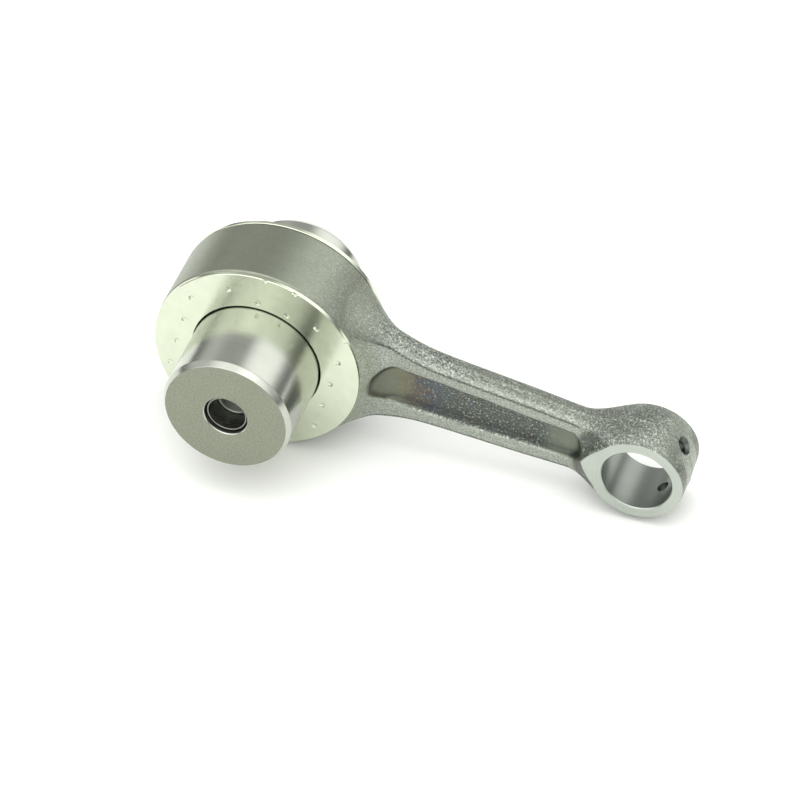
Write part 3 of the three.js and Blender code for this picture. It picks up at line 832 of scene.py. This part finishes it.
def add_crankpin():
    """The hollow crankpin: ground and polished round the outside, faced on its ends."""
    low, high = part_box("crankpin")
    half = (high.y - low.y) / 2 / MM
    offset = ((high.y + low.y) / 2 - BIG_END.y) / MM
    end_radius, shoulder = PIN_RADIUS - PIN_CHAMFER_DEPTH, half - PIN_CHAMFER_LENGTH
    mouth, throat = PIN_HOLE_RADIUS + PIN_HOLE_CHAMFER, half - PIN_HOLE_CHAMFER
    profile = rounded([
        (PIN_HOLE_RADIUS, -throat), (mouth, -half), (end_radius, -half), (PIN_RADIUS, -shoulder),
        (PIN_RADIUS, shoulder), (end_radius, half), (mouth, half), (PIN_HOLE_RADIUS, throat)], 0.14, 3)
    bm = turned(profile, 224, (0, offset, 0))
    for face in bm.faces:
        x, y, z = face.calc_center_median()
        from_middle = abs(y - offset)
        if math.hypot(x, z) < PIN_HOLE_RADIUS + NEAR_EDGE and from_middle < throat:
            face.material_index = HOLE_DRILLED
        elif from_middle > half - NEAR_EDGE:
            face.material_index = END_FACED
    finishes = {
        # Round the outside: a near mirror with the faintest rings.
        POLISHED: ground_steel("Hardened alloy steel, ground and polished", scene_colour("pin"), BIG_END,
                               line_mm=0.8, rough=(0.19, 0.24), contrast=0.03, relief_mm=0.0006),
        # The ends: matt and mottled, with the rings of the facing tool.
        END_FACED: ground_steel("Hardened alloy steel, faced", scene_colour("pin_end"), BIG_END,
                                line_mm=0.30, rough=(0.42, 0.52), contrast=0.06, relief_mm=0.002,
                                mottle=0.26),
        HOLE_DRILLED: drilled_steel_with_hole_shade(scene_colour("pin")),
    }
    piece = finished_object("crankpin_finished", bm, finishes.values())
    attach(piece, "pin")
    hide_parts("crankpin")


PLUG_RADIUS = 5.55
PLUG_WALL = 0.55


def add_plugs():
    """The cup plugs in the crankpin's hole: drawn from sheet, with a bright rolled rim."""
    # A dark, even sheen, with the bright line that its rolled rim catches.
    steel = ground_steel("Sheet steel, deep drawn", scene_colour("plug"), BIG_END, line_mm=0.8,
                         rough=(0.24, 0.32), contrast=0.05, relief_mm=0.001)
    for end, side in (("front", -1), ("rear", 1)):
        low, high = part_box(f"pin_plug_{end}")
        rim = ((low.y if side < 0 else high.y) - BIG_END.y) / MM
        length = (high.y - low.y) / MM
        inner, floor = PLUG_RADIUS - PLUG_WALL, length - PLUG_WALL
        cup = rounded([(0, floor), (inner, floor), (inner, 0), (PLUG_RADIUS, 0),
                       (PLUG_RADIUS, length), (0, length)], 0.8, 5)
        profile = [(radius, rim - side * depth) for radius, depth in cup]
        piece = finished_object(f"pin_plug_{end}_finished", turned(profile, 128), [steel])
        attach(piece, "pin")
        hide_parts(f"pin_plug_{end}")


WASHER_RADIUS = 28.35
WASHER_HOLE_RADIUS = 17.8
LATTICE_TURN = math.radians(-7.1)          # the dimples' rows against the rod's long axis
LATTICE_START = (-2.12, 19.8)              # and one dimple that they pass through


def dimple_tools(face, side):
    """The balls that press the oil dimples into a washer's outer face, on a square lattice."""
    sizes = bpy.context.scene.rod_kit_sizes
    pitch, radius, depth = sizes.dimple_pitch / MM, sizes.dimple_radius / MM, sizes.dimple_depth / MM
    ball = (radius ** 2 + depth ** 2) / (2 * depth)
    bm = bmesh.new()
    reach = int(WASHER_RADIUS / pitch) + 4
    for i in range(-reach, reach + 1):
        for j in range(-reach, reach + 1):
            x = LATTICE_START[0] + pitch * (i * math.cos(LATTICE_TURN) - j * math.sin(LATTICE_TURN))
            z = LATTICE_START[1] + pitch * (i * math.sin(LATTICE_TURN) + j * math.cos(LATTICE_TURN))
            from_axis = math.hypot(x, z)
            if WASHER_HOLE_RADIUS + 0.2 < from_axis < WASHER_RADIUS + 0.3:
                place = Matrix.Translation((x, side * (face + ball - depth), z))
                bmesh.ops.create_icosphere(bm, subdivisions=3, radius=ball, matrix=place)
    return bm


def add_washers():
    """The thrust washers: flat, plated and polished, with oil dimples in the outer face."""
    plating = silver_plating()
    for end, side in (("front", -1), ("rear", 1)):
        low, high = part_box(f"thrust_washer_{end}")
        inner, outer = sorted(abs(y - BIG_END.y) / MM for y in (low.y, high.y))
        profile = rounded([(WASHER_HOLE_RADIUS, side * inner), (WASHER_RADIUS, side * inner),
                           (WASHER_RADIUS, side * outer), (WASHER_HOLE_RADIUS, side * outer)], 0.16, 1)
        blank = loose_object("washer_blank", turned(profile, 224))
        cut(blank, dimple_tools(outer, side))
        piece = finished_object(f"thrust_washer_{end}_finished", taken_back(blank), [plating],
                                sharp_degrees=24)
        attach(piece, f"washer_{end}")
        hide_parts(f"thrust_washer_{end}")


ROLLER_RADIUS = 1.96
ROLLER_HALF = 7.5
CAGE_INNER, CAGE_OUTER, CAGE_HALF = 17.8, 21.2, 9.6
POCKET_CLEARANCE = 0.08
POCKET_CUT = 8                # the pocket tool's size across the cage's wall, right through it


def add_bearing():
    """The needle bearing: a machined cage and its ground rollers."""
    # Cage: dull and oily brown, with turned rings. Rollers: small clean mirrors.
    cage_steel = ground_steel("Machined steel, dull brown", scene_colour("cage"), BIG_END, line_mm=0.4,
                              rough=(0.30, 0.42))
    roller_steel = ground_steel("Bearing steel, ground", scene_colour("plug"), BIG_END, line_mm=0.5,
                                rough=(0.10, 0.18), contrast=0.05)
    to_rod = ROD_TO_ROW.inverted()
    sleeve = rounded([(CAGE_INNER, -CAGE_HALF), (CAGE_OUTER, -CAGE_HALF),
                      (CAGE_OUTER, CAGE_HALF), (CAGE_INNER, CAGE_HALF)], 0.25, 3)
    needle = rounded([(0, -ROLLER_HALF), (ROLLER_RADIUS, -ROLLER_HALF),
                      (ROLLER_RADIUS, ROLLER_HALF), (0, ROLLER_HALF)], 0.5, 5)
    pocket = Matrix.Diagonal((POCKET_CUT, 2 * (ROLLER_HALF + POCKET_CLEARANCE),
                              2 * (ROLLER_RADIUS + POCKET_CLEARANCE), 1))
    cage = loose_object("cage_blank", turned(sleeve, 256))
    pockets = bmesh.new()
    for number, name in enumerate(ROLLER_NAMES, 1):
        centre = to_rod @ node_centre(name)
        turn = Matrix.Rotation(-math.atan2(centre.z, centre.x), 4, "Y")
        bmesh.ops.create_cube(pockets, size=1.0, matrix=Matrix.Translation(centre) @ turn @ pocket)
        roller = finished_object(f"roller_{number:02d}_finished", turned(needle, 48, centre), [roller_steel])
        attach(roller, f"roller_{number:02d}")
        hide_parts(name)
    cut(cage, pockets)
    piece = finished_object("needle_cage_finished", taken_back(cage), [cage_steel])
    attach(piece, "cage")
    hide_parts("needle_cage")


CAMERA_AZIMUTH = math.radians(17.404)
CAMERA_HEIGHT = math.radians(42.793)
CAMERA_ROLL = math.radians(1.403)
CAMERA_AIM = BIG_END + Vector((0.03779, -0.00500, -0.00845))
CAMERA_DISTANCE = 1.0888
CAMERA_LENS = 186.8

# The overhead soft box, which lights the floor and is kept out of the reflections.
SOFT_BOX_PLACE = Vector((-0.08, 0.12, 1.20))
SOFT_BOX_SIDE = 1.2
SOFT_BOX_WATTS = 6.0

# The room: an even light, darker towards some directions and brighter towards others.
ROOM_LIGHT = 0.80
ROOM_PATCHES = (
    ((-0.16, 0.70, 0.69), 0.87, 0.98, -0.25),        # dark wall behind, high up
    ((0.0, 0.0, 1.0), 0.40, 0.06, -0.60),            # dark far walls, low down
    ((0.42, 0.70, 0.58), 0.88, 0.975, 0.90),         # window behind, to the right
    ((0.52, -0.42, 0.74), 0.84, 0.97, 0.95),         # window in front, to the right
    ((-0.02, -0.25, 0.97), 0.74, 0.95, 0.80),        # pale ceiling, a little in front
    ((-0.42, -0.80, 0.42), 0.72, 0.95, 1.00),        # bright wall in front, to the left
)


def add_floor():
    """A sheet of white paper, wide enough to have no edge in view."""
    bm = bmesh.new()
    bmesh.ops.create_grid(bm, x_segments=2, y_segments=2, size=bpy.context.scene.rod_kit_sizes.floor_size / 2)
    floor = finished_object("stage_floor", bm, [paper_floor()], Matrix.Identity(4))


def add_soft_box():
    light = bpy.data.lights.new("Soft box overhead", "AREA")
    light.shape = "SQUARE"
    light.size, light.energy = SOFT_BOX_SIDE, SOFT_BOX_WATTS
    box = bpy.data.objects.new("Soft box overhead", light)
    box.location = SOFT_BOX_PLACE
    box.rotation_euler = (-SOFT_BOX_PLACE).to_track_quat("-Z", "Y").to_euler()
    box.visible_glossy = False
    bpy.context.scene.collection.objects.link(box)


def add_room():
    """The room's light, which the metals reflect: windows, pale walls and darker ones."""
    world = bpy.data.worlds.new("White room")
    world.use_nodes = True
    sky = world.node_tree
    direction = add(sky, "ShaderNodeTexCoord", out="Generated")
    level = ROOM_LIGHT
    for towards, start, full, change in ROOM_PATCHES:
        facing = add(sky, "ShaderNodeVectorMath", {0: direction, 1: Vector(towards).normalized()},
                     {"operation": "DOT_PRODUCT"}, "Value")
        patch = add(sky, RANGE, {"Value": facing, "From Min": start, "From Max": full, "To Max": change},
                    {"interpolation_type": "SMOOTHSTEP"})
        level = add(sky, MATHS, {0: level, 1: patch}, SUM)
    background = sky.nodes["Background"].inputs
    background["Color"].default_value = (1.0, 1.0, 1.0, 1.0)
    sky.links.new(level, background["Strength"])
    bpy.context.scene.world = world
    bpy.context.scene.view_settings.view_transform = "Standard"


def add_camera():
    back = Vector((math.sin(CAMERA_AZIMUTH) * math.cos(CAMERA_HEIGHT),
                   -math.cos(CAMERA_AZIMUTH) * math.cos(CAMERA_HEIGHT), math.sin(CAMERA_HEIGHT)))
    flat = Vector((math.cos(CAMERA_AZIMUTH), math.sin(CAMERA_AZIMUTH), 0))
    right = flat * math.cos(CAMERA_ROLL) + back.cross(flat) * math.sin(CAMERA_ROLL)
    axes = Matrix((right, back.cross(right), back)).transposed().to_4x4()
    lens = bpy.data.cameras.new("Camera")
    lens.lens = CAMERA_LENS
    lens.clip_end = 20.0
    camera = bpy.data.objects.new("Camera", lens)
    camera.matrix_world = Matrix.Translation(CAMERA_AIM + back * CAMERA_DISTANCE) @ axes
    bpy.context.scene.collection.objects.link(camera)
    bpy.context.scene.camera = camera


def add_stage():
    add_floor()
    add_soft_box()
    add_room()
    add_camera()


class ROD_OT_add_rod(bpy.types.Operator):
    """Adds the forged connecting rod"""
    bl_idname = "rod_kit.add_rod"
    bl_label = "Connecting Rod"

    def execute(self, context):
        add_rod()
        return {"FINISHED"}


class ROD_OT_add_crankpin(bpy.types.Operator):
    """Adds the hollow crankpin"""
    bl_idname = "rod_kit.add_crankpin"
    bl_label = "Crankpin"

    def execute(self, context):
        add_crankpin()
        return {"FINISHED"}


class ROD_OT_add_plugs(bpy.types.Operator):
    """Adds the cup plugs in the crankpin's hole"""
    bl_idname = "rod_kit.add_plugs"
    bl_label = "Cup Plugs"

    def execute(self, context):
        add_plugs()
        return {"FINISHED"}


class ROD_OT_add_washers(bpy.types.Operator):
    """Adds the dimpled thrust washers"""
    bl_idname = "rod_kit.add_washers"
    bl_label = "Thrust Washers"

    def execute(self, context):
        add_washers()
        return {"FINISHED"}


class ROD_OT_add_bearing(bpy.types.Operator):
    """Adds the needle bearing's cage and rollers"""
    bl_idname = "rod_kit.add_bearing"
    bl_label = "Needle Bearing"

    def execute(self, context):
        add_bearing()
        return {"FINISHED"}


class ROD_OT_add_stage(bpy.types.Operator):
    """Adds the floor, lights and camera"""
    bl_idname = "rod_kit.add_stage"
    bl_label = "Stage"

    def execute(self, context):
        add_stage()
        return {"FINISHED"}


OPERATORS = (ROD_OT_add_stage, ROD_OT_add_rod, ROD_OT_add_crankpin, ROD_OT_add_plugs,
             ROD_OT_add_washers, ROD_OT_add_bearing)


class ROD_PT_kit(bpy.types.Panel):
    bl_label = "Connecting Rod Kit"
    bl_idname = "ROD_PT_kit"
    bl_space_type = "VIEW_3D"
    bl_region_type = "UI"
    bl_category = "Rod Kit"

    def draw(self, context):
        for group in (context.scene.rod_kit_sizes, context.scene.rod_kit_colours):
            column = self.layout.column()
            for name in group.__annotations__:
                column.prop(group, name)
        for operator in OPERATORS:
            self.layout.operator(operator.bl_idname)


CLASSES = (RodKitSizes, RodKitColours, *OPERATORS, ROD_PT_kit)


def register():
    for cls in CLASSES:
        bpy.utils.register_class(cls)
    bpy.types.Scene.rod_kit_sizes = bpy.props.PointerProperty(type=RodKitSizes)
    bpy.types.Scene.rod_kit_colours = bpy.props.PointerProperty(type=RodKitColours)


def unregister():
    del bpy.types.Scene.rod_kit_colours
    del bpy.types.Scene.rod_kit_sizes
    for cls in reversed(CLASSES):
        bpy.utils.unregister_class(cls)


def main():
    register()
    bpy.ops.rod_kit.add_stage()
    bpy.ops.rod_kit.add_rod()
    bpy.ops.rod_kit.add_crankpin()
    bpy.ops.rod_kit.add_plugs()
    bpy.ops.rod_kit.add_washers()
    bpy.ops.rod_kit.add_bearing()


if __name__ == "__main__":
    main()
